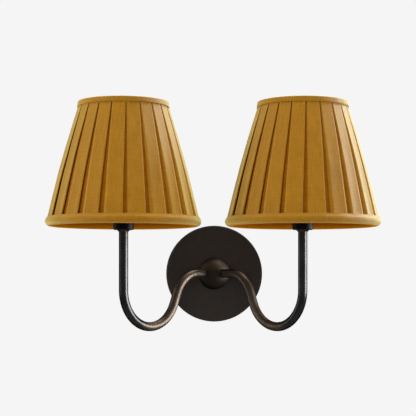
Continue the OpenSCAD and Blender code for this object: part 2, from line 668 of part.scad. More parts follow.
// Folded band around the upper wire ring and the ends of the cover and the lining
module top_trim(side) color(fabric) on_holder(side) {
    band_z = shade_top_z - top_band_h;
    leg_z = cover_top_z - trim_leg_h;
    edge_z = shade_top_z - top_edge_r;
    edge_at = [shade_top_d / 2 - top_edge_r, edge_z];
    curl_at = [leg_r(edge_z) + top_edge_r - trim_t, edge_z];
    turned(concat(
        [[cover_r(band_z) + cloth_gap, band_z], [cover_r(band_z) + cloth_gap + trim_t, band_z]],
        arc(edge_at, top_edge_r, 0, 90, 4),
        arc(curl_at, top_edge_r, 90, 180, 4),
        [[leg_r(leg_z) - trim_t, leg_z], [leg_r(leg_z), leg_z]],
        arc(curl_at, top_edge_r - trim_t, 180, 90, 4),
        arc(edge_at, top_edge_r - trim_t, 90, 0, 4)));
}

module wire_ring(z, r, d) translate([0, 0, z]) rotate_extrude() translate([r, 0]) circle(d = d);

module top_wire(side) color(zinc) on_holder(side) wire_ring(top_wire_z, top_wire_r, top_wire_d);

module bottom_wire(side) color(zinc) on_holder(side) wire_ring(bottom_wire_z, bottom_wire_r, bottom_wire_d);

// Straight struts, lapped against the inner sides of both wire rings
module shade_struts(side) color(zinc) on_holder(side) {
    lean = atan((strut_bottom_r - strut_top_r) / (top_wire_z - bottom_wire_z));
    length = (top_wire_z - bottom_wire_z) / cos(lean);
    for (i = [0 : struts - 1]) rotate([0, 0, shade_turn(side) + 360 * i / struts])
        translate([strut_bottom_r, 0, bottom_wire_z]) rotate([0, -lean, 0]) cylinder(h = length, d = strut_d);
}

// Three rods from the fitter ring to the struts, or the room for them
module spokes(side, r, past = 0) {
    start_r = fitter_r - 1;
    end_r = strut_r(spoke_z) - strut_d / 2 - 2 * slip_gap;
    for (i = [0 : 2]) rotate([0, 0, shade_turn(side) + 120 * i])
        translate([start_r, 0, spoke_z]) rotate([0, 90, 0]) cylinder(h = end_r + past - start_r, r = r);
}

module shade_fitter(side) color(zinc) on_holder(side) {
    translate([0, 0, fitter_z]) tube(fitter_t, fitter_r, fitter_bore_r);
    spokes(side, spoke_d / 2);
}

wall_bracket();
earth_screw();
earth_washer();
terminal_block();
terminal_sleeves();
terminal_screws();
block_screw();
rim_screws();
backplate();
hub();
hub_nipple();
hub_washer();
hub_nut();
arm(left);  // arm_left
arm_cable(left);  // arm_cable_left
arm_ferrule(left);  // arm_ferrule_left
holder_nipple(left);  // holder_nipple_left
holder_nut(left);  // holder_nut_left
holder_cap(left);  // holder_cap_left
holder_skirt(left);  // holder_skirt_left
holder_insulator(left);  // holder_insulator_left
screw_shell(left);  // screw_shell_left
centre_contact(left);  // centre_contact_left
shade_ring(left);  // shade_ring_left
lamp_cap(left);  // lamp_cap_left
lamp_glass(left);  // lamp_glass_left
lamp_filament(left);  // lamp_filament_left
shade_cover(left);  // shade_cover_left
shade_lining(left);  // shade_lining_left
top_trim(left);  // top_trim_left
bottom_trim(left);  // bottom_trim_left
top_wire(left);  // top_wire_left
bottom_wire(left);  // bottom_wire_left
shade_struts(left);  // shade_struts_left
shade_fitter(left);  // shade_fitter_left
arm(right);  // arm_right
arm_cable(right);  // arm_cable_right
arm_ferrule(right);  // arm_ferrule_right
holder_nipple(right);  // holder_nipple_right
holder_nut(right);  // holder_nut_right
holder_cap(right);  // holder_cap_right
holder_skirt(right);  // holder_skirt_right
holder_insulator(right);  // holder_insulator_right
screw_shell(right);  // screw_shell_right
centre_contact(right);  // centre_contact_right
shade_ring(right);  // shade_ring_right
lamp_cap(right);  // lamp_cap_right
lamp_glass(right);  // lamp_glass_right
lamp_filament(right);  // lamp_filament_right
shade_cover(right);  // shade_cover_right
shade_lining(right);  // shade_lining_right
top_trim(right);  // top_trim_right
bottom_trim(right);  // bottom_trim_right
top_wire(right);  // top_wire_right
bottom_wire(right);  // bottom_wire_right
shade_struts(right);  // shade_struts_right
shade_fitter(right);  // shade_fitter_right
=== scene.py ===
import math
import random

import bpy
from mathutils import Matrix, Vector, noise


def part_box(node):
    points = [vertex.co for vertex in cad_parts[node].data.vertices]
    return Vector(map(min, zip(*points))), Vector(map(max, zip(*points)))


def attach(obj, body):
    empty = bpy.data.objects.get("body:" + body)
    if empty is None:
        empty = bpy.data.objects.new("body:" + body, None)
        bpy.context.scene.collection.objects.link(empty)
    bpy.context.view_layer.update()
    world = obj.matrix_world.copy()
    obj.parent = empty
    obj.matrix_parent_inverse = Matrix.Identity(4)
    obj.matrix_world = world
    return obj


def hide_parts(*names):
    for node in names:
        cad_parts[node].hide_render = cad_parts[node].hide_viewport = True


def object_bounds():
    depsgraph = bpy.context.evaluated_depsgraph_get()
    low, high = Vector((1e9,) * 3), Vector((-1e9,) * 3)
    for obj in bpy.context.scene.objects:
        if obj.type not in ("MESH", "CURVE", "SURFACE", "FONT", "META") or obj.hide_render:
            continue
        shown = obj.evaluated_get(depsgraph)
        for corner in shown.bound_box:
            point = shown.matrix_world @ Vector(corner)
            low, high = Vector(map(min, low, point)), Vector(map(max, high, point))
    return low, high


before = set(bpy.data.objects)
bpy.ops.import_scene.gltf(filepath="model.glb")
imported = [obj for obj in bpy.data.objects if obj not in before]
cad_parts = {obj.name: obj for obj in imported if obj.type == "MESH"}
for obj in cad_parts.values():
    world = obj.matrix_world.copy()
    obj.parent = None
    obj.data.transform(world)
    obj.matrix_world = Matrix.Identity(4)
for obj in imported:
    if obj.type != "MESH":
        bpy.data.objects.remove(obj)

# Double arm wall sconce: two swan-neck tubes on a spun backplate, each with a box-pleated silk shade.
# Metres. The wall is y = 0, and the light stands out from it towards -Y.
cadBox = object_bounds()
scene = bpy.context.scene
sides = {"left": -1, "right": 1}
mm = 0.001


def report(stage):
    print("scene:", stage)


def linear(hexColour):
    # an sRGB hex value as the linear colour that a shader works in
    parts = [int(hexColour[i:i + 2], 16) / 255 for i in (1, 3, 5)]
    return [p / 12.92 if p <= 0.04045 else ((p + 0.055) / 1.055) ** 2.4 for p in parts] + [1.0]


def mix(a, b, t):
    return a + (b - a) * t


def ease(low, high, value):
    # 0 at low and 1 at high, with a soft start and end
    t = min(max((value - low) / (high - low), 0), 1)
    return t * t * (3 - 2 * t)


def ripple(x, y, z, seed):
    # smooth noise about 0, a different one for each seed
    away = [seed * step for step in (7.31, 3.17, 1.93)]
    return noise.noise(Vector((x, y, z)) + Vector(away))


def addNode(tree, kind, values=None, links=None, stops=None, **settings):
    # values and links go by the name or number of an input. stops are a colour ramp's places and colours
    node = tree.nodes.new("ShaderNode" + kind)
    for name, value in settings.items():
        setattr(node, name, value)
    for name, value in (values or {}).items():
        node.inputs[name].default_value = value
    for name, source in (links or {}).items():
        tree.links.new(source, node.inputs[name])
    for index, (place, colour) in enumerate(stops or []):
        stop = node.color_ramp.elements[index] if index < 2 else node.color_ramp.elements.new(place)
        stop.position = place
        stop.color = linear(colour)
    return node


def startMaterial(name, **sockets):
    # a socket's name is given with _ for its spaces
    material = bpy.data.materials.new(name)
    material.use_nodes = True
    tree = material.node_tree
    shader = tree.nodes["Principled BSDF"]
    for socket, value in sockets.items():
        shader.inputs[socket.replace("_", " ")].default_value = value
    return material, tree, shader


def addPiece(name, points, faces, material):
    mesh = bpy.data.meshes.new(name)
    mesh.from_pydata(points, [], faces)
    mesh.polygons.foreach_set("use_smooth", [True] * len(faces))
    mesh.materials.append(material)
    piece = bpy.data.objects.new(name, mesh)
    scene.collection.objects.link(piece)
    return piece


def gridPiece(name, rows, flat, material, wrapRows=False, inner=None):
    # rows of points that each close around. flat is every point's place on the laid-out surface, with one
    # more column than the rows, and one more row where the rows close too
    height, width = len(rows), len(rows[0])
    faces = []
    corners = []
    for r in range(height if wrapRows else height - 1):
        up = (r + 1) % height
        for c in range(width):
            right = (c + 1) % width
            faces.append((r * width + c, r * width + right, up * width + right, up * width + c))
            corners += [flat[r][c], flat[r][c + 1], flat[r + 1][c + 1], flat[r + 1][c]]
    piece = addPiece(name, [point for row in rows for point in row], faces, material)
    layer = piece.data.uv_layers.new(name="flat")
    layer.data.foreach_set("uv", [value for corner in corners for value in corner])
    if inner:
        # inner is a second material, and the test of row and column that says which faces take it
        second, takes = inner
        piece.data.materials.append(second)
        chosen = [int(takes(index // width, index % width)) for index in range(len(faces))]
        piece.data.polygons.foreach_set("material_index", chosen)
    return piece


def axisOf(node):
    low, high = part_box(node)
    return (low.x + high.x) / 2, (low.y + high.y) / 2


def bothSides(names):
    # a name that ends with _ stands for its left and its right piece
    return [full for name in names
            for full in ([name + side for side in sides] if name.endswith("_") else [name])]


view = {
    "place": (0.01795, -1.76516, -0.01477),
    "lens": 108.92,            # millimetres, as the sensor's width is
    "sensor": 36,
    "shiftX": -0.0459,         # shares of the frame, which put the light in its middle without a tilt
    "shiftY": 0.1834,
}


def makeCamera():
    data = bpy.data.cameras.new("camera")
    data.sensor_width = view["sensor"]
    data.lens = view["lens"]
    data.shift_x = view["shiftX"]
    data.shift_y = view["shiftY"]
    camera = bpy.data.objects.new("camera", data)
    camera.location = view["place"]
    camera.rotation_euler = (math.radians(90), 0, 0)
    scene.collection.objects.link(camera)
    scene.camera = camera


studio = {
    "paper": "#F5F5F5",
    "fill": 0.6,               # strength of the even light from all around
    "floorDrop": 1.6,          # so far below the part that views from below clear the floor
    "floorSize": 14.0,
    "floorDark": "#EFEFEE",
    "floorLight": "#F5F5F5",
    "target": (0.0, -0.12, 0.09),
    # each softbox: degrees round from the front, degrees up, distance, width, height and radiance,
    # and the pieces it is flagged for, or "all". A flagged one only adds its reflection
    "lamps": {
        "right high panel": (134, 60, 2.0, 1.2, 0.8, 14, "all"),
        "front right panel": (58, 24, 2.0, 0.6, 0.8, 9.6, "all"),
        "front left panel": (-50, 24, 2.0, 0.6, 0.8, 9.4, "all"),
        "left panel": (-80, 25, 2.0, 0.6, 0.8, 6.5, "all"),
        "right back gloss": (118, 32, 2.0, 0.8, 0.8, 75, "cloth"),
        "right gloss": (95, 10, 2.0, 1.0, 1.6, 9, "cloth"),
        "left high gloss": (-110, 60, 2.0, 1.8, 0.8, 3, "cloth"),
        "band gloss": (112, -4, 1.9, 1.4, 0.5, 30, "cloth"),
        "tube gloss": (92, -4, 1.9, 1.9, 0.6, 46, "metal"),
        "left low gloss": (-100, -4, 1.9, 1.2, 0.5, 6, "metal"),
    },
    "flagged": {
        "cloth": ["pleated_cover_", "bottom_band_", "top_band_"],
        "metal": ["arm_tube_", "hub", "holder_cap_", "holder_skirt_", "shade_ring_"],
    },
}


def makeWorld():
    # the camera, mirrors and glass see the paper, and everything else gets the even fill
    world = bpy.data.worlds.new("studio")
    world.use_nodes = True
    scene.world = world
    tree = world.node_tree
    tree.nodes.clear()
    path = addNode(tree, "LightPath")
    mirrored = addNode(tree, "Math", operation="MAXIMUM",
                       links={0: path.outputs["Is Camera Ray"], 1: path.outputs["Is Glossy Ray"]})
    shown = addNode(tree, "Math", operation="MAXIMUM",
                    links={0: mirrored.outputs[0], 1: path.outputs["Is Transmission Ray"]})
    paper = addNode(tree, "Background", {"Color": linear(studio["paper"]), "Strength": 1.0})
    fill = addNode(tree, "Background", {"Color": (1, 1, 1, 1), "Strength": studio["fill"]})
    both = addNode(tree, "MixShader", links={0: shown.outputs[0], 1: fill.outputs[0], 2: paper.outputs[0]})
    addNode(tree, "OutputWorld", links={"Surface": both.outputs[0]})


def makeLamps():
    target = Vector(studio["target"])
    for name, (turn, rise, distance, width, height, radiance, lights) in studio["lamps"].items():
        turn = math.radians(turn)
        rise = math.radians(rise)
        away = Vector((math.sin(turn) * math.cos(rise), -math.cos(turn) * math.cos(rise), math.sin(rise)))
        data = bpy.data.lights.new(name, "AREA")
        data.shape = "RECTANGLE"
        data.size = width
        data.size_y = height
        # an area lamp's radiance is a quarter of its watts per square metre
        data.energy = 4 * radiance * width * height
        lamp = bpy.data.objects.new(name, data)
        lamp.location = target + distance * away
        lamp.rotation_euler = (-away).to_track_quat("-Z", "Y").to_euler()
        lamp.visible_camera = False
        lamp.visible_diffuse = lights == "all"
        scene.collection.objects.link(lamp)


def flagLamps():
    # a flag keeps a lamp off every piece but those it is set up for
    for group, names in studio["flagged"].items():
        lit = bpy.data.collections.new(group)
        for name in bothSides(names):
            lit.objects.link(scene.objects[name])
        for name, settings in studio["lamps"].items():
            if settings[-1] == group:
                scene.objects[name].light_linking.receiver_collection = lit


def makeFloor():
    # painted plywood: an even, matt off-white, with faint clouds a few metres wide
    paint, tree, shader = startMaterial("painted plywood", Roughness=0.9)
    clouds = addNode(tree, "TexNoise", {"Scale": 3.0, "Detail": 2.0})
    tone = addNode(tree, "ValToRGB", links={"Fac": clouds.outputs["Fac"]},
                   stops=[(0.3, studio["floorDark"]), (0.7, studio["floorLight"])])
    tree.links.new(tone.outputs["Color"], shader.inputs["Base Color"])
    half = studio["floorSize"] / 2
    level = cadBox[0][2] - studio["floorDrop"]
    corners = [(x * half, y * half, level) for x, y in ((-1, -1), (1, -1), (1, 1), (-1, 1))]
    floor = addPiece("floor", corners, [(0, 1, 2, 3)], paint)


waveLength = 0.314             # metres between the crests of a wave texture whose scale is 1

lacquer = {
    "mottle": 16 * mm,         # width of the clouds that the patina leaves
    "pit": 0.9 * mm,           # grain of the lacquer, drawn coarser than its real 0.1 mm so that it shows
    "glossSpread": 0.05,
}


def lacqueredMetal(name, finish):
    # Steel or brass, blackened and lacquered: nearly black with brown clouds, and a soft satin gloss
    edge = finish["edge"]
    metal, tree, shader = startMaterial(name, Metallic=1.0, Specular_Tint=(edge, edge, edge, 1))
    place = addNode(tree, "TexCoord").outputs["Object"]
    cloud = addNode(tree, "TexNoise", {"Scale": 1 / lacquer["mottle"], "Detail": 4.0, "Roughness": 0.6},
                    {"Vector": place})
    tone = addNode(tree, "ValToRGB", links={"Fac": cloud.outputs["Fac"]},
                   stops=[(0.5 - finish["soft"], finish["base"]), (0.5 + finish["soft"], finish["brown"])])
    pits = addNode(tree, "TexNoise", {"Scale": 1 / lacquer["pit"], "Detail": 2.0}, {"Vector": place})
    gloss = addNode(tree, "MapRange", {"To Min": finish["roughness"] - lacquer["glossSpread"],
                                       "To Max": finish["roughness"] + lacquer["glossSpread"]},
                    {"Value": cloud.outputs["Fac"]})
    bump = addNode(tree, "Bump", {"Strength": 0.25, "Distance": finish["pitDepth"]},
                   {"Height": pits.outputs["Fac"]})
    tree.links.new(tone.outputs["Color"], shader.inputs["Base Color"])
    tree.links.new(gloss.outputs["Result"], shader.inputs["Roughness"])
    tree.links.new(bump.outputs["Normal"], shader.inputs["Normal"])
    parts = {"place": place, "tone": tone.outputs["Color"], "gloss": gloss.outputs["Result"],
             "normal": bump.outputs["Normal"]}
    return metal, tree, shader, parts


# In each finish, base and brown are the colours beside the clouds and in them, soft is how gently one turns
# to the other, and edge is how much of a mirror's brightness is left where the surface is seen aslant
plateFinish = {
    "base": "#2F2C29",
    "brown": "#36302C",
    "soft": 0.2,
    "roughness": 0.5,
    "pitDepth": 0.02 * mm,
    "edge": 0.15,
    "ring": 1.6 * mm,          # spacing of the rings, drawn coarse so that they show
    "ringDepth": 0.02 * mm,
}


def spunSteel():
    # Spun steel keeps faint rings from the spinning tool, which the lacquer half fills
    metal, tree, shader, parts = lacqueredMetal("spun steel, bronze lacquer", plateFinish)
    rings = addNode(tree, "TexWave", {"Scale": waveLength / plateFinish["ring"], "Distortion": 0.6,
                                      "Detail": 1.0},
                    {"Vector": parts["place"]}, wave_type="RINGS", rings_direction="Y")
    bump = addNode(tree, "Bump", {"Strength": 0.12, "Distance": plateFinish["ringDepth"]},
                   {"Height": rings.outputs["Fac"], "Normal": parts["normal"]})
    tree.links.new(bump.outputs["Normal"], shader.inputs["Normal"])
    return metal


hubFinish = {
    "base": "#2C261F",
    "brown": "#352D25",
    "soft": 0.22,
    "roughness": 0.55,
    "pitDepth": 0.01 * mm,
    "edge": 0.45,
    "under": "#1C1916",        # painted shade: colour of the darker underside
    "shadeFullBelow": -16 * mm,   # painted shade: all of the hub is that colour below here, and none above shadeNoneAbove
    "shadeNoneAbove": 13 * mm,
}


def turnedBrass():
    # Turned and bronzed brass: a soft brown, with painted shade that keeps it dark underneath
    metal, tree, shader, parts = lacqueredMetal("turned brass, bronzed", hubFinish)
    height = addNode(tree, "SeparateXYZ", links={"Vector": parts["place"]})
    # painted shade: the colour turns to the dark underside colour towards the bottom
    top = addNode(tree, "MapRange",
                  {"From Min": hubFinish["shadeFullBelow"], "From Max": hubFinish["shadeNoneAbove"]},
                  {"Value": height.outputs["Z"]}, interpolation_type="SMOOTHSTEP")
    colour = addNode(tree, "Mix", {6: linear(hubFinish["under"])},
                     {0: top.outputs["Result"], 7: parts["tone"]}, data_type="RGBA")
    tree.links.new(colour.outputs[2], shader.inputs["Base Color"])
    return metal


tubeFinish = {
    "base": "#1D1D1E",
    "brown": "#252423",
    "soft": 0.2,
    "roughness": 0.28,
    "pitDepth": 0.001 * mm,
    "edge": 0.1,
    "rubbed": "#473E36",
    "rubTop": 14 * mm,         # the rubbing fades in between these two heights
    "rubFull": -4 * mm,
    "rubOut": 98 * mm,         # and fades out between these two distances from the middle of the light
    "rubIn": 82 * mm,
    "rubLeast": 0.25,          # shares of the rubbed colour in the faintest and the strongest streaks
    "rubMost": 0.8,
    "streakLength": 30 * mm,
    "streakWidth": 6 * mm,
    "dulled": 0.18,            # roughness that the rubbing adds
}


def drawnTube():
    # Drawn tube is drawn through a die, so its marks run along it. Hands have rubbed the drop to brown
    metal, tree, shader, parts = lacqueredMetal("drawn steel tube, bronze lacquer", tubeFinish)
    uv = addNode(tree, "UVMap", uv_map="flat")
    along = addNode(tree, "Mapping",
                    {"Scale": (1 / tubeFinish["streakLength"], 1 / tubeFinish["streakWidth"], 1)},
                    {"Vector": uv.outputs["UV"]})
    streak = addNode(tree, "TexNoise", {"Scale": 1.0, "Detail": 1.0}, {"Vector": along.outputs["Vector"]})
    spot = addNode(tree, "SeparateXYZ", links={"Vector": parts["place"]})
    below = addNode(tree, "MapRange", {"From Min": tubeFinish["rubTop"], "From Max": tubeFinish["rubFull"]},
                    {"Value": spot.outputs["Z"]}, interpolation_type="SMOOTHSTEP")
    sideways = addNode(tree, "Math", links={0: spot.outputs["X"]}, operation="ABSOLUTE")
    within = addNode(tree, "MapRange", {"From Min": tubeFinish["rubOut"], "From Max": tubeFinish["rubIn"]},
                     {"Value": sideways.outputs[0]}, interpolation_type="SMOOTHSTEP")
    drop = addNode(tree, "Math", operation="MULTIPLY",
                   links={0: below.outputs["Result"], 1: within.outputs["Result"]})
    worn = addNode(tree, "MapRange", {"From Min": 0.2, "From Max": 0.7, "To Min": tubeFinish["rubLeast"],
                                      "To Max": tubeFinish["rubMost"]}, {"Value": streak.outputs["Fac"]})
    rub = addNode(tree, "Math", links={0: drop.outputs[0], 1: worn.outputs["Result"]}, operation="MULTIPLY")
    colour = addNode(tree, "Mix", {7: linear(tubeFinish["rubbed"])}, {0: rub.outputs[0], 6: parts["tone"]},
                     data_type="RGBA")
    dull = addNode(tree, "Math", {1: tubeFinish["dulled"]}, {0: drop.outputs[0], 2: parts["gloss"]},
                   operation="MULTIPLY_ADD")
    tree.links.new(colour.outputs[2], shader.inputs["Base Color"])
    tree.links.new(dull.outputs[0], shader.inputs["Roughness"])
    return metal


def cloudedMaterial(name, light, dark, soft, gloss, grain, detail, bump, depth, **sockets):
    # One cloud pattern gives the tone, the relief and the roughness, which runs between the two in gloss
    material, tree, shader = startMaterial(name, **sockets)
    place = addNode(tree, "TexCoord").outputs["Object"]
    cloud = addNode(tree, "TexNoise", {"Scale": 1 / grain, "Detail": detail}, {"Vector": place})
    tone = addNode(tree, "ValToRGB", links={"Fac": cloud.outputs["Fac"]},
                   stops=[(0.5 - soft, dark), (0.5 + soft, light)])
    relief = addNode(tree, "Bump", {"Strength": bump, "Distance": depth}, {"Height": cloud.outputs["Fac"]})
    tree.links.new(tone.outputs["Color"], shader.inputs["Base Color"])
    tree.links.new(relief.outputs["Normal"], shader.inputs["Normal"])
    if gloss:
        dull = addNode(tree, "MapRange", {"To Min": gloss[0], "To Max": gloss[1]},
                       {"Value": cloud.outputs["Fac"]})
        tree.links.new(dull.outputs["Result"], shader.inputs["Roughness"])
    return material


def plainMetal(name, light, dark, roughness, grain, depth):
    # Plated or rolled metal: bright, with a fine grain that breaks up its reflections
    return cloudedMaterial(name, light, dark, soft=0.15, gloss=(roughness - 0.08, roughness + 0.08),
                           grain=grain, detail=3.0, bump=0.3, depth=depth, Metallic=1.0)


def evenMaterial(name, light, dark, roughness, grain, depth, **sockets):
    # Moulded, fired and painted surfaces have no grain, only a faint unevenness in tone and gloss
    return cloudedMaterial(name, light, dark, soft=0.2, gloss=(roughness * 0.85, roughness * 1.15),
                           grain=grain, detail=2.0, bump=0.2, depth=depth, **sockets)


def blownGlass():
    # Clear soda glass, thinly blown: almost invisible face on, with bright rims
    return cloudedMaterial("blown soda glass", "#FBFCFA", "#F4F6F4", soft=0.2, gloss=None,
                           grain=9 * mm, detail=1.0, bump=0.1, depth=0.05 * mm,
                           Roughness=0.02, IOR=1.5, Transmission_Weight=1.0)


weave = {
    "thread": 1.3 * mm,        # spacing of the threads, drawn at four times the real one so that it shows
    "slubLength": 22 * mm,
    "slubWidth": 1.3 * mm,
    "faded": 35 * mm,          # width of the paler and darker areas, and how much they show
    "fading": 0.4,
    "relief": 0.14 * mm,
}


def wovenCloth(name, light, dark, slub, sheen, **sockets):
    # Plain weave: fine crossing ribs, long slubs and, where the thread is lustrous, a pale golden sheen
    cloth, tree, shader = startMaterial(name, **sockets)
    if sheen:
        shader.inputs["Sheen Tint"].default_value = linear(sheen)
    flat = addNode(tree, "UVMap", uv_map="flat").outputs["UV"]
    ribs = []
    for direction in ("X", "Y"):
        ribs.append(addNode(tree, "TexWave", {"Scale": waveLength / weave["thread"], "Distortion": 1.5,
                                              "Detail": 1.0, "Detail Scale": 0.4},
                            {"Vector": flat}, bands_direction=direction).outputs["Fac"])
    threads = addNode(tree, "Math", links={0: ribs[0], 1: ribs[1]}, operation="MULTIPLY")
    long = 1 / weave["slubLength"]
    thin = 1 / weave["slubWidth"]
    slubs = []
    for scale in ((thin, long, 1), (long, thin, 1)):
        laid = addNode(tree, "Mapping", {"Scale": scale}, {"Vector": flat})
        slubs.append(addNode(tree, "TexNoise", {"Scale": 1.0, "Detail": 3.0, "Roughness": 0.65},
                             {"Vector": laid.outputs["Vector"]}).outputs["Fac"])
    crossed = addNode(tree, "Math", links={0: slubs[0], 1: slubs[1]}, operation="ADD")
    raised = addNode(tree, "MapRange", {"From Min": 1.0, "From Max": 1.3}, {"Value": crossed.outputs[0]})
    faded = addNode(tree, "TexNoise", {"Scale": 1 / weave["faded"], "Detail": 3.0}, {"Vector": flat})
    dyed = addNode(tree, "Math", {1: weave["fading"]}, {0: faded.outputs["Fac"], 2: crossed.outputs[0]},
                   operation="MULTIPLY_ADD")
    spread = addNode(tree, "MapRange", {"From Min": 0.95, "From Max": 1.45}, {"Value": dyed.outputs[0]})
    tone = addNode(tree, "ValToRGB", links={"Fac": spread.outputs["Result"]},
                   stops=[(0.0, dark), (1.0, light)])
    thickness = addNode(tree, "Math", {1: slub}, {0: raised.outputs["Result"], 2: threads.outputs[0]},
                        operation="MULTIPLY_ADD")
    bump = addNode(tree, "Bump", {"Strength": 0.6, "Distance": weave["relief"]},
                   {"Height": thickness.outputs[0]})
    tree.links.new(tone.outputs["Color"], shader.inputs["Base Color"])
    tree.links.new(bump.outputs["Normal"], shader.inputs["Normal"])
    return cloth


# the two tones of the dye, how far the slubs stand out, and the colour of the sheen
cloths = {
    "silk": ("#976503", "#825301", 0.9, "#FFFBA0"),
    # painted shade: darker tones of the same dye for the silk folded into the grooves
    "folds": ("#905302", "#784401", 0.4, None),
    "lining": ("#C27B0F", "#B16F0A", 0.2, None),
    "thread": ("#B0801F", "#A07016", 0.0, "#FFF4A8"),
}


def makeMaterials():
    return {
        "plate": spunSteel(),
        "hub": turnedBrass(),
        "tube": drawnTube(),
        # a cool, satin grey
        "zinc": plainMetal("rolled steel, zinc plated", "#C6C9CB", "#A4A8AB", 0.38, 2.5 * mm, 0.02 * mm),
        # a warm yellow with a soft shine
        "brass": plainMetal("drawn brass", "#D9B36A", "#B98F45", 0.3, 3 * mm, 0.01 * mm),
        # a bright, slightly warm grey
        "nickel": plainMetal("pressed brass, nickel plated", "#D0CEC8", "#B4B1AA", 0.25, 2 * mm, 0.01 * mm),
        # off-white, with the soft gloss of paint on round wire
        "wire": evenMaterial("drawn steel wire, pale lacquer", "#E4E0D8", "#D2CCC0", 0.45, 4 * mm,
                             0.02 * mm),
        # black all through, with only a faint, dull highlight
        "phenolic": evenMaterial("moulded phenolic", "#0F0D0E", "#090808", 0.42, 6 * mm, 0.02 * mm,
                                 Specular_IOR_Level=0.022),
        # milky white and half matt
        "polyamide": evenMaterial("moulded polyamide", "#E9E8E2", "#DCDAD2", 0.5, 5 * mm, 0.02 * mm),
        # a greyer white, with a little more gloss
        "sheath": evenMaterial("extruded PVC sheath", "#E3E1DC", "#D3D0CA", 0.42, 6 * mm, 0.02 * mm),
        # cream and chalky, because it is fired without a glaze
        "steatite": evenMaterial("fired steatite", "#E8E3D2", "#D6CFBB", 0.65, 1.2 * mm, 0.03 * mm),
        # a grainy egg yellow
        "phosphor": evenMaterial("cast yellow phosphor", "#E0B040", "#C98F22", 0.6, 1.5 * mm, 0.02 * mm),
        "glass": blownGlass(),
        # ochre, with slubs that stand out, and paler where it turns away
        "silk": wovenCloth("woven slub silk, ochre", *cloths["silk"], Roughness=0.65,
                           Specular_IOR_Level=0.06, Sheen_Weight=0.8, Sheen_Roughness=0.48),
        # painted shade: the same silk, browner and without sheen, because light only comes in between the
        # folds
        "folds": wovenCloth("woven slub silk, painted shade in the folds", *cloths["folds"], Roughness=0.8,
                            Specular_IOR_Level=0.05),
        # an orange cotton with hardly any slubs or gloss
        "lining": wovenCloth("woven cotton lining", *cloths["lining"], Roughness=0.9,
                             Specular_IOR_Level=0.0),
        # paler and smoother than the cloth
        "thread": wovenCloth("spun silk thread", *cloths["thread"], Roughness=0.6,
                             Specular_IOR_Level=0.15, Sheen_Weight=0.2),
    }


arm = {
    "angle": 48,               # degrees out from the wall, seen from above
    "radius": 6 * mm,
    "wall": 0.9 * mm,
    "socket": 12 * mm,         # from the hub's centre to the tube's inner end
    "shoulder": 42 * mm,       # radius of the bend down from the hub
    "drop": 67.5,              # degrees below the level after the shoulder
    "run": 16 * mm,            # straight stretch between the two bends
    "cradle": 48 * mm,         # radius of the bend up to the holder
    "sides": 40,
    "bendStep": 2 * mm,
    "straightSteps": 8,
    "riserSteps": 24,
    "crispPast": 60,           # degrees past which an edge of the cut end stays sharp
}


def arc(centre, radius, start, end):
    count = max(2, round(abs(math.radians(end - start)) * radius / arm["bendStep"]))
    angles = [math.radians(mix(start, end, i / count)) for i in range(count + 1)]
    return [(centre[0] + radius * math.sin(a), centre[1] - radius * math.cos(a)) for a in angles]


def armLine(reach, top):
    # centre line in the arm's own upright plane, as distance from the hub's centre and height
    drop = math.radians(arm["drop"])
    steps = arm["straightSteps"]
    risers = arm["riserSteps"]
    first = (reach - arm["shoulder"] * math.sin(drop) - arm["run"] * math.cos(drop)
             - arm["cradle"] * (1 + math.sin(drop)))
    line = [(mix(arm["socket"], first, i / steps), 0.0) for i in range(steps)]
    line += arc((first, -arm["shoulder"]), arm["shoulder"], 180, 180 - arm["drop"])
    out, down = line[-1]
    line += [(out + arm["run"] * math.cos(drop) * i / steps, down - arm["run"] * math.sin(drop) * i / steps)
             for i in range(1, steps)]
    out += arm["run"] * math.cos(drop)
    down -= arm["run"] * math.sin(drop)
    centre = (out + arm["cradle"] * math.sin(drop), down + arm["cradle"] * math.cos(drop))
    line += arc(centre, arm["cradle"], -arm["drop"], 90)
    rise = top - line[-1][1]
    return line + [(reach, line[-1][1] + rise * i / risers) for i in range(1, risers + 1)]


def makeArm(name, side, material):
    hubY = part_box("backplate")[0].y
    holderX, holderY = axisOf("arm_ferrule_" + name)
    reach = math.hypot(holderX, holderY - hubY)
    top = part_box("arm_" + name)[1].z
    angle = math.radians(arm["angle"])
    across = Vector((side * math.sin(angle), math.cos(angle), 0))
    path = [Vector((holderX * out / reach, hubY + (holderY - hubY) * out / reach, height))
            for out, height in armLine(reach, top)]
    last = len(path) - 1
    tangents = [(path[min(i + 1, last)] - path[max(i - 1, 0)]).normalized() for i in range(len(path))]
    distances = [0.0]
    for a, b in zip(path, path[1:]):
        distances.append(distances[-1] + (b - a).length)
    turns = [2 * math.pi * k / arm["sides"] for k in range(arm["sides"] + 1)]
    outside = list(range(len(path)))
    rows = []
    flat = []
    # up along the outside and back down along the bore
    for radius, steps in ((arm["radius"], outside), (arm["radius"] - arm["wall"], outside[::-1])):
        for i in steps:
            up = across.cross(tangents[i])
            rows.append([path[i] + radius * (math.cos(a) * across + math.sin(a) * up) for a in turns[:-1]])
            flat.append([(distances[i], arm["radius"] * a) for a in turns])
    flat.append(flat[0])
    tube = gridPiece("arm_tube_" + name, rows, flat, material, wrapRows=True)
    edge = tube.modifiers.new("crisp ends", "EDGE_SPLIT")
    edge.split_angle = math.radians(arm["crispPast"])
    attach(tube, "base")
    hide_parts("arm_" + name)


shade = {
    "turn": {"left": 7.8, "right": 0.2},    # degrees that each shade is turned on its holder
    "twist": 1.4,              # degrees that the pleats lean from bottom to top
    "seam": 85,                # degrees from the front to the two side seams, one on each side
    "crowd": 5.5,              # degrees that the pleats at a side seam are pushed towards the front
    "seamReach": 44,           # degrees over which that push fades
    "underBand": 1.4 * mm,     # how far the cover's upper edge lies inside the outside of the upper band
}

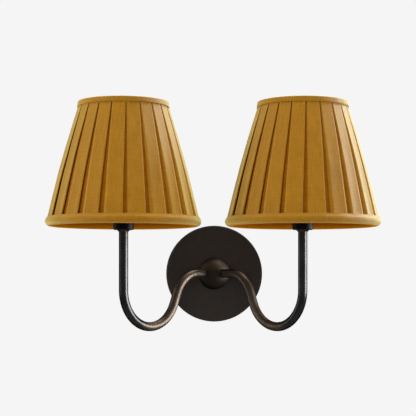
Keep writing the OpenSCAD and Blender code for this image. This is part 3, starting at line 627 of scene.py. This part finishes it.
cover = {
    "pleats": 20,
    "pleatCloth": 44 * mm,     # width of cloth folded into one pleat
    "grooveLow": 9.6 * mm,
    "grooveHigh": 1.6 * mm,
    "taper": 1.5,              # above 1 a groove stays wide further up, and then closes faster
    "uneven": (0.88, 1.12),    # narrowest and widest groove at the bottom, as shares of grooveLow
    "slope": 0.6,              # share of a groove's width in which it rises to the next panel
    "floorLow": 3.7 * mm,      # depth of the groove's floor
    "floorHigh": 1.5 * mm,
    "foldLow": 2.4 * mm,       # width over which a panel's folded edge rounds over
    "foldHigh": 0.8 * mm,
    "lipLow": 1.0 * mm,        # half of how deep that edge turns under
    "lipHigh": 0.4 * mm,
    "dishLow": 1.0 * mm,       # how far a panel sinks between its edges
    "dishHigh": 0.4 * mm,
    "bow": 1.8 * mm,           # how far the cover bows out between its rims
    "beyond": 0.1,             # share of the height by which its cone goes on past them, for the bands
    "rows": 56,
    "looseFrom": 0.06,         # shares of the height between which the bands let the cloth wander
    "looseTo": 0.96,
    "wander": 0.3 * mm,        # how far a whole pleat strays from its place
    "waver": 0.25 * mm,        # how far it sways on its way up, and about how often
    "waverCount": 3,
    "wave": 0.2 * mm,          # depth, width and height of the soft waves in a panel
    "waveWidth": 12 * mm,
    "waveHeight": 45 * mm,
    "pucker": 0.3 * mm,        # depth, width, height and reach of the puckers under the upper band
    "puckerWidth": 2.2 * mm,
    "puckerHeight": 12 * mm,
    "puckerReach": 9 * mm,
    "seed": {"left": 4, "right": 9},
}


def coverShape(name):
    low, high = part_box("shade_cover_" + name)
    bandLow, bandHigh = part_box("top_trim_" + name)
    return {
        "axis": axisOf("shade_cover_" + name),
        "low": low.z,
        "high": high.z,
        "lowRadius": (high.x - low.x) / 2,
        "highRadius": (bandHigh.x - bandLow.x) / 2 - shade["underBand"],
    }


def coverRadius(shape, z):
    t = (z - shape["low"]) / (shape["high"] - shape["low"])
    t = min(max(t, -cover["beyond"]), 1 + cover["beyond"])
    bow = cover["bow"] * math.sin(math.pi * min(max(t, 0), 1))
    return mix(shape["lowRadius"], shape["highRadius"], t) + bow


def placeAround(shape, radius, angle, z):
    # a point about the shade's axis, with the front at -90 degrees
    return shape["axis"][0] + radius * math.cos(angle), shape["axis"][1] + radius * math.sin(angle), z


def pleatAngle(name, k, t):
    # degrees to the middle of groove k at a share t of the height
    even = (360 * k / cover["pleats"] + shade["turn"][name] + 180) % 360 - 180
    for seam in (-shade["seam"], shade["seam"]):
        even -= math.copysign(shade["crowd"], seam) * math.exp(-((even - seam) / shade["seamReach"]) ** 2)
    return even + shade["twist"] * (t - 0.5) - 90


def pleatSection(before, after, groove, tuck, floor, fold, lip, dish):
    # (distance, depth) across one pleat: from the middle of the panel before it over that panel's folded
    # edge, back under the panel, along the groove's floor and up the slope to the panel after it
    edge = -groove / 2
    under = 2 * lip
    turn = (floor - under) / 2
    slope = cover["slope"] * groove
    points = [(edge - before + share * (before - fold), 4 * dish * share * (1 - share))
              for share in (0.5, 0.6, 0.7, 0.8, 0.89, 0.96, 1)]
    points += [(edge - fold + fold * math.sin(a), lip - lip * math.cos(a))
               for a in (0.4, 0.8, 1.2, 1.57, 2.0, 2.5)]
    # painted shade: from here to shadedEnd the faces take the darker silk
    shadedStart = len(points)
    points += [(edge - mix(fold, tuck, share), under) for share in (0, 0.4, 1)]
    points += [(edge - tuck - turn * math.sin(a), under + turn - turn * math.cos(a))
               for a in (0.8, 1.57, 2.35)]
    points += [(edge - tuck * share, floor) for share in (1, 0.5, 0.1)]
    points += [(mix(edge, -edge - slope, share), floor) for share in (0.15, 0.5, 0.85)]
    # painted shade: the darker silk of the folds goes on a little way up the slope
    shadedEnd = len(points) + 2
    for t in (0, 0.17, 0.33, 0.5, 0.67, 0.83, 1):
        # level where it leaves the floor, and as steep as the dished panel where it meets that
        rise = (2 * t ** 3 - 3 * t * t + 1) * floor + 4 * dish / after * (t ** 3 - t * t) * slope
        points.append((-edge - slope * (1 - t), rise))
    points += [(-edge + share * after, 4 * dish * share * (1 - share))
               for share in (0.05, 0.12, 0.21, 0.3, 0.4)]
    return points, shadedStart, shadedEnd


def clothDistances(section):
    # how far along the cloth each point of a section lies
    along = [0.0]
    for (s0, d0), (s1, d1) in zip(section, section[1:]):
        along.append(along[-1] + math.hypot(s1 - s0, d1 - d0))
    return along


def makeCover(name, shape, material, folds):
    # folds is the darker silk that paints shade into the grooves
    seed = cover["seed"][name]
    draw = random.Random(seed)
    pleats = cover["pleats"]
    stray = [draw.uniform(-1, 1) * cover["wander"] for _ in range(pleats)]
    widths = [draw.uniform(*cover["uneven"]) for _ in range(pleats)]
    rows = []
    flat = []
    for row in range(cover["rows"] + 1):
        t = row / cover["rows"]
        z = mix(shape["low"], shape["high"], t)
        radius = coverRadius(shape, z)
        loose = min(ease(0, cover["looseFrom"], t), ease(1, cover["looseTo"], t))
        floor = mix(cover["floorLow"], cover["floorHigh"], t)
        fold = mix(cover["foldLow"], cover["foldHigh"], t)
        lip = mix(cover["lipLow"], cover["lipHigh"], t)
        dish = mix(cover["dishLow"], cover["dishHigh"], t) * loose
        tuck = cover["pleatCloth"] / 2 - math.pi * radius / pleats
        pinch = cover["pucker"] * math.exp((z - shape["high"]) / cover["puckerReach"])
        opening = mix(cover["grooveLow"], cover["grooveHigh"], t ** cover["taper"])
        grooves = [opening * mix(widths[k], 1, t * t) for k in range(pleats)]
        # each pleat, and each pattern below, takes its own part of the noise
        strays = [loose * (stray[k] + cover["waver"] * ripple(t * cover["waverCount"], k * 5.0, 0, seed))
                  for k in range(pleats)]
        angles = [math.radians(pleatAngle(name, k, t)) + strays[k] / radius for k in range(pleats)]
        panels = [radius * ((angles[(k + 1) % pleats] - angles[k]) % (2 * math.pi))
                  - (grooves[k] + grooves[(k + 1) % pleats]) / 2 for k in range(pleats)]
        points = []
        laid = []
        for k in range(pleats):
            section, shadedStart, shadedEnd = pleatSection(panels[k - 1], panels[k], grooves[k],
                                                         tuck, floor, fold, lip, dish)
            for s, depth in section:
                onTop = 1 - min(max(depth, 0) / floor, 1)
                a = angles[k] + s / radius
                across = a * radius
                wave = (cover["wave"] * loose
                        * ripple(across / cover["waveWidth"], z / cover["waveHeight"], 0, seed + 3))
                wave += pinch * ripple(across / cover["puckerWidth"], z / cover["puckerHeight"], 5, seed)
                points.append(placeAround(shape, radius - depth + wave * onTop, a, z))
            laid += [(k * cover["pleatCloth"] + along, z) for along in clothDistances(section)]
        rows.append(points)
        flat.append(laid + [(pleats * cover["pleatCloth"], z)])
    # every pleat has as many points, so a face's place in its pleat tells if it takes the darker silk of
    # painted shade
    repeat = len(section)
    return gridPiece("pleated_cover_" + name, rows, flat, material,
                     inner=(folds, lambda r, c: shadedStart <= c % repeat < shadedEnd))


band = {
    "thick": 0.6 * mm,
    "lift": 0.45 * mm,         # how far the bands stand out from the panels
    "around": 480,
    "dentShare": 0.17,         # width of the dent over a groove, as a share of the pleats' spacing
    "hem": 0.3 * mm,           # radius of the hem that faces the cover
}


def lathe(name, profile, shape, push, material, inner=None):
    # profile is a closed outline of (radius, height), and push moves a point out by its angle and place
    around = band["around"]
    rows = []
    flat = []
    along = 0.0
    for index, (r, z) in enumerate(profile + profile[:1]):
        if index:
            along += math.hypot(r - profile[index - 1][0], z - profile[index - 1][1])
        flat.append([(r * 2 * math.pi * k / around, along) for k in range(around + 1)])
        if index == len(profile):
            break
        angles = [2 * math.pi * k / around - math.pi / 2 for k in range(around)]
        rows.append([placeAround(shape, r + push(a, r, z), a, z) for a in angles])
    return gridPiece(name, rows, flat, material, wrapRows=True, inner=inner)


def grooveShare(name, angle, t):
    # 1 over a groove's middle and 0 over a panel's
    pitch = 360 / cover["pleats"]
    off = min(abs((math.degrees(angle) - pleatAngle(name, k, t) + 180) % 360 - 180)
              for k in range(cover["pleats"]))
    return math.exp(-(off / (band["dentShare"] * pitch)) ** 2)


def rim(centre, radius, start, end, count):
    angles = [math.radians(mix(start, end, i / count)) for i in range(count + 1)]
    return [(centre[0] + radius * math.cos(a), centre[1] + radius * math.sin(a)) for a in angles]


bottomBand = {
    "roll": 6 * mm,            # radius of the rolled edge
    "rollStart": 26,           # degrees on the roll where the silk comes on to it
    "liningStart": -70,        # and where the lining starts
    "padding": 0.9 * mm,       # from the roll's outside to its inside
    "hemOut": 0.2 * mm,
    "hemDown": 0.3 * mm,
    "flankOut": 0.6 * mm,      # the flat stretch starts this far out and down from the band's upper edge
    "flankDown": 0.8 * mm,
    "flankIn": 0.75 * mm,      # and ends this far in from the roll's outside, at this height
    "flankLow": 8.6 * mm,
    "legGap": 1.0 * mm,        # from the lining's lower edge in to the leg that turns up inside the mouth
    "curl": 2 * mm,            # radius of that turn, and how far out from the leg its centre is
    "curlOut": 1.6 * mm,
    "legRise": 2 * mm,         # the leg's end, up from the cover's lower rim, and its two sides there
    "legInner": 1.0 * mm,
    "legOuter": 0.5 * mm,
    "backDown": 2 * mm,        # two points that close the outline behind the hem
    "backTop": 0.6 * mm,
    "backIn": 0.1 * mm,
    "dent": 0.35 * mm,         # how far the band sinks over each groove, and the height where that starts
    "dentFrom": 4 * mm,
    "sag": 0.16 * mm,          # depth, height and number of its soft sags
    "sagHeight": 14 * mm,
    "sagCount": 5,
    "stillWithin": 3 * mm,     # what is closer than this to the leg keeps its place
}


def makeBottomBand(name, shape, material, inside):
    low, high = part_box("bottom_trim_" + name)
    liningLow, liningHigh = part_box("shade_lining_" + name)
    b = bottomBand
    roll = b["roll"]
    curl = b["curl"]
    outer = (high.x - low.x) / 2
    centre = (outer - roll, low.z + roll)
    bandRadius = coverRadius(shape, high.z) + band["lift"]
    leg = (liningHigh.x - liningLow.x) / 2 - b["legGap"]
    legTop = shape["low"] + b["legRise"]
    curlCentre = (leg + b["curlOut"], low.z + curl)
    profile = rim((bandRadius + b["hemOut"], high.z - b["hemDown"]), band["hem"], 180, 20, 5)
    profile += [(mix(bandRadius + b["flankOut"], outer - b["flankIn"], s),
                 mix(high.z - b["flankDown"], low.z + b["flankLow"], s)) for s in (0, 0.25, 0.5, 0.75)]
    profile += rim(centre, roll, b["rollStart"], b["liningStart"], 14)
    turnedIn = len(profile)
    profile += rim(centre, roll, b["liningStart"] - 5, -90, 3)
    profile += rim(curlCentre, curl, -90, -180, 6)
    profile += [(leg - b["legInner"], legTop), (leg - b["legOuter"], legTop)]
    profile += rim(curlCentre, curl - band["thick"], -180, -90, 6)
    profile += rim(centre, roll - b["padding"], -90, 22, 14)
    profile += [(bandRadius, high.z - b["backDown"]), (bandRadius - b["backIn"], high.z - b["backTop"])]

    def push(a, r, z):
        sink = -b["dent"] * ease(low.z + b["dentFrom"], high.z, z) * grooveShare(name, a, 0)
        sag = b["sag"] * ripple(math.cos(a) * b["sagCount"], math.sin(a) * b["sagCount"], z / b["sagHeight"],
                                cover["seed"][name])
        return (sink + sag) * (1 if r > leg + b["stillWithin"] else 0)

    return lathe("bottom_band_" + name, profile, shape, push, material,
                 inner=(inside, lambda r, c: r >= turnedIn))


topBand = {
    "edge": 1.5 * mm,          # radius of the folded upper edge
    "narrower": 0.35 * mm,     # how much closer its outside is to the axis at the top than at the hem
    "upperOut": 0.2 * mm,      # and how far the folded edge bulges out from there
    "leg": 6.1 * mm,           # from the outside of the upper wire in to the leg behind it
    "hemOut": 0.1 * mm,
    "hemUp": 0.3 * mm,
    # points up its outside, as (out, up from the hem), and the last one, down from its top
    "belly": [(0.42 * mm, 1.4 * mm), (0.3 * mm, 2.8 * mm)],
    "shoulderOut": 0.3 * mm,
    "shoulderDown": 2.4 * mm,
    "backIn": 0.2 * mm,        # the point that closes the outline behind the hem
    "backUp": 1.2 * mm,
    "dent": 0.18 * mm,
    "sag": 0.12 * mm,
    "sagHeight": 10 * mm,
    "sagCount": 6,
    "stillWithin": 2.2 * mm,
    "seedStep": 11,
}


def makeTopBand(name, shape, material):
    low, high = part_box("top_trim_" + name)
    wireLow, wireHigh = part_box("top_wire_" + name)
    b = topBand
    edge = b["edge"]
    thick = band["thick"]
    bandRadius = coverRadius(shape, low.z) + band["lift"]
    outer = bandRadius - b["narrower"]
    inside = (wireHigh.x - wireLow.x) / 2 - b["leg"]
    outerCentre = (outer + b["upperOut"] - edge, high.z - edge)
    innerCentre = (inside + edge, high.z - edge)
    profile = rim((bandRadius + b["hemOut"], low.z + b["hemUp"]), band["hem"], 180, 350, 5)
    profile += [(bandRadius + out, low.z + up) for out, up in b["belly"]]
    profile += [(outer + b["shoulderOut"], high.z - b["shoulderDown"])]
    profile += rim(outerCentre, edge, 0, 90, 6)
    profile += rim(innerCentre, edge, 90, 180, 6)
    profile += [(inside, low.z), (inside + thick, low.z)]
    profile += rim(innerCentre, edge - thick, 180, 90, 6)
    profile += rim(outerCentre, edge - thick, 90, 0, 6)
    profile += [(bandRadius - b["backIn"], low.z + b["backUp"])]
    seed = cover["seed"][name] + b["seedStep"]

    def push(a, r, z):
        sink = -b["dent"] * ease(high.z, low.z, z) * grooveShare(name, a, 1)
        sag = b["sag"] * ripple(math.cos(a) * b["sagCount"], math.sin(a) * b["sagCount"], z / b["sagHeight"],
                                seed)
        return (sink + sag) * (1 if r > inside + b["stillWithin"] else 0)

    return lathe("top_band_" + name, profile, shape, push, material)


stitch = {
    "spacing": 3.0 * mm,
    "length": 1.7 * mm,
    "thread": 0.22 * mm,       # radius of the thread
    "below": 1.2 * mm,         # down from the upper band's lower edge
    "lift": 0.3 * mm,
    "dip": 0.35 * mm,          # how far each end goes into the cloth
    "thinnest": 0.05,          # square of the share of its radius that the thread keeps there
    "rings": 7,
    "sides": 8,
}


def makeStitches(name, shape, material):
    # one row of running stitch that gathers the pleats under the upper band
    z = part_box("top_trim_" + name)[0].z - stitch["below"]
    radius = coverRadius(shape, z) + stitch["lift"]
    count = round(2 * math.pi * radius / stitch["spacing"])
    rings = stitch["rings"]
    n = stitch["sides"]
    points = []
    faces = []
    for k in range(count):
        middle = 2 * math.pi * k / count
        start = len(points)
        for i in range(rings):
            share = i / (rings - 1) * 2 - 1
            a = middle + share * stitch["length"] / 2 / radius
            dip = stitch["dip"] * share ** 4
            thread = stitch["thread"] * math.sqrt(max(1 - share ** 6, stitch["thinnest"]))
            for j in range(n):
                b = 2 * math.pi * j / n
                points.append(placeAround(shape, radius - dip + thread * math.cos(b), a,
                                          z + thread * math.sin(b)))
        for i in range(rings - 1):
            here = start + i * n
            for j in range(n):
                beside = (j + 1) % n
                faces.append((here + j, here + n + j, here + n + beside, here + beside))
        faces.append(tuple(start + j for j in range(n)))
        faces.append(tuple(start + (rings - 1) * n + j for j in range(n - 1, -1, -1)))
    return addPiece("gathering_stitches_" + name, points, faces, material)


liningCloth = {
    "gapLow": 0.25 * mm,       # from the outside of its solid in to its lower edge
    "insideWire": 6.2 * mm,    # from the outside of the upper wire in to its upper edge
    "around": 240,
    "rows": 40,
    "fold": 0.25 * mm,         # depth of its soft folds, and the most that they come out
    "foldOut": 0.1 * mm,
    "foldRest": 0.05 * mm,     # how far inside its cone it rests between them
    "foldCount": 9,
    "foldRise": 1.3,
    "seed": 21,
}


def makeLining(name, shape, material):
    low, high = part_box("shade_lining_" + name)
    wireLow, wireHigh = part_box("top_wire_" + name)
    lowRadius = (high.x - low.x) / 2 - liningCloth["gapLow"]
    highRadius = (wireHigh.x - wireLow.x) / 2 - liningCloth["insideWire"]
    count = liningCloth["around"]
    folds = liningCloth["foldCount"]
    angles = [2 * math.pi * k / count - math.pi / 2 for k in range(count)]
    rows = []
    flat = []
    for row in range(liningCloth["rows"] + 1):
        t = row / liningCloth["rows"]
        z = mix(low.z, high.z, t)
        radius = mix(lowRadius, highRadius, t)
        slack = math.sin(math.pi * t) ** 0.5
        points = []
        for a in angles:
            fold = liningCloth["fold"] * slack * ripple(math.cos(a) * folds, math.sin(a) * folds,
                                                        t * liningCloth["foldRise"], liningCloth["seed"])
            out = radius - liningCloth["foldRest"] + min(fold, liningCloth["foldOut"])
            points.append(placeAround(shape, out, a, z))
        rows.append(points)
        flat.append([(2 * math.pi * radius * k / count, z) for k in range(count + 1)])
    lining = gridPiece("lining_" + name, rows, flat, material)
    return lining


def makeShade(name, materials):
    shape = coverShape(name)
    pleated = makeCover(name, shape, materials["silk"], materials["folds"])
    bottom = makeBottomBand(name, shape, materials["silk"], materials["lining"])
    top = makeTopBand(name, shape, materials["silk"])
    stitches = makeStitches(name, shape, materials["thread"])
    lining = makeLining(name, shape, materials["lining"])
    for piece, slot, node in ((pleated, "shade_fabric", "shade_cover_"),
                              (bottom, "shade_fabric", "bottom_trim_"),
                              (top, "shade_fabric", "top_trim_"),
                              (lining, "lining_fabric", "shade_lining_")):
        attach(piece, "shade_" + name)
        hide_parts(node + name)
    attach(stitches, "shade_" + name)


# the frame's own pieces, by the material that they take
finishes = {
    "plate": ["backplate", "rim_screws", "arm_ferrule_"],
    "hub": ["hub"],
    "zinc": ["wall_bracket", "earth_washer", "terminal_screws", "block_screw", "hub_nipple", "hub_washer",
             "hub_nut", "holder_nipple_", "holder_nut_"],
    "brass": ["earth_screw", "terminal_sleeves", "screw_shell_", "centre_contact_"],
    "nickel": ["lamp_cap_"],
    "wire": ["top_wire_", "bottom_wire_", "shade_struts_", "shade_fitter_"],
    "phenolic": ["holder_cap_", "holder_skirt_", "shade_ring_"],
    "polyamide": ["terminal_block"],
    "sheath": ["arm_cable_"],
    "steatite": ["holder_insulator_"],
    "phosphor": ["lamp_filament_"],
    "glass": ["lamp_glass_"],
}


def finishNodes(materials):
    for finish, names in finishes.items():
        for name in bothSides(names):
            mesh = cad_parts[name].data
            mesh.materials.clear()
            mesh.materials.append(materials[finish])


scene.view_settings.view_transform = "Standard"
makeCamera()
makeWorld()
makeLamps()
makeFloor()
report("camera and studio")
materials = makeMaterials()
finishNodes(materials)
report("materials, and the frame's own pieces")
for sideName, side in sides.items():
    makeArm(sideName, side, materials["tube"])
    makeShade(sideName, materials)
    report(sideName + " arm and shade")
flagLamps()
report("lamps flagged")
